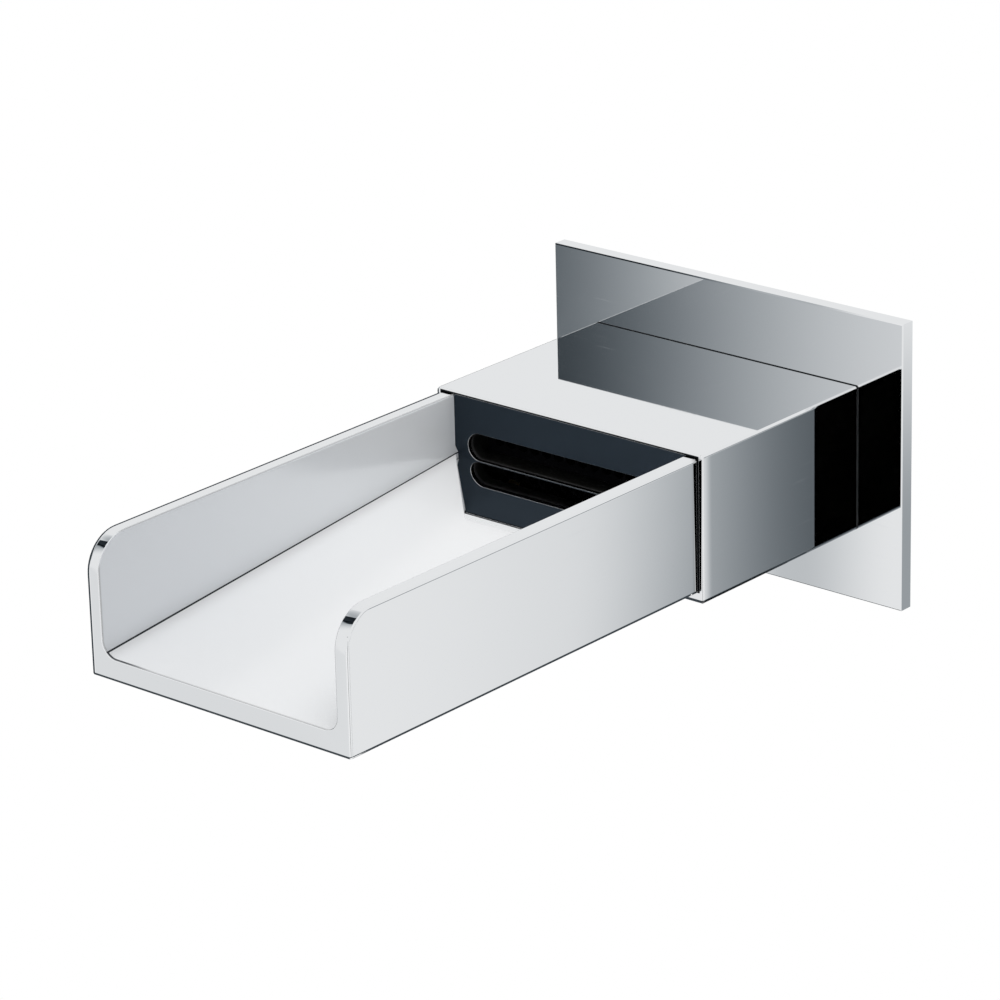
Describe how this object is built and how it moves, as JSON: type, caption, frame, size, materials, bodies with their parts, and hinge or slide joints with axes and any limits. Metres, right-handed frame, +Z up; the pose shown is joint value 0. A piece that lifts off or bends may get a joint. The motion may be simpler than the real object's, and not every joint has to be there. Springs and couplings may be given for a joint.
{
  "type": "wall mounted basin spout",
  "caption": "Wall mounted open trough basin spout: wall plate, rectangular collar, slotted outlet, U-shaped trough with a falling floor, and a slip-on pipe-threaded inlet nipple.",
  "frame": {"origin": "on the inlet's axis, at the wall's face", "axes": "+Y into the wall along the inlet's axis, +Z up, +X to the right of someone who faces the wall; the spout reaches out along -Y"},
  "size_m": [0.11, 0.203, 0.075],
  "materials": {
    "chrome_plate": "polished chrome plate",
    "chrome_collar": "polished chrome plate",
    "chrome_trough": "polished chrome plate",
    "chrome_base": "polished chrome plate",
    "dark_chrome": "dark satin chrome",
    "brass_cast": "as cast and machined brass",
    "brass_turned": "turned brass",
    "steel_screws": "plain stainless steel",
    "steel_mesh": "pierced stainless sheet",
    "seal_rubber": "moulded rubber",
    "foam": "closed cell foam",
    "fibre": "vulcanised fibre",
    "dark_plastic": "moulded plastic",
    "blue_plastic": "moulded plastic"
  },
  "bodies": {
    "root": {"wall_plate": "chrome_plate", "wall_seal": "foam", "collar": "chrome_collar", "trough": "chrome_trough", "trough_base": "chrome_base", "slot_plate": "dark_chrome", "slot_seal": "seal_rubber", "stud_washers": "fibre", "stud_nuts": "brass_turned", "water_box": "brass_cast", "cover_seal": "seal_rubber", "box_cover": "brass_cast", "cover_screws": "steel_screws", "flow_straightener": "dark_plastic", "trough_screws": "steel_screws", "plate_screws": "steel_screws", "inlet_nipple": "brass_turned", "rear_seal_ring": "seal_rubber", "front_seal_ring": "seal_rubber", "inlet_washer": "fibre", "locking_screw": "steel_screws", "flow_restrictor": "blue_plastic", "restrictor_ring": "seal_rubber", "inlet_strainer": "steel_mesh"}
  },
  "joints": []
}
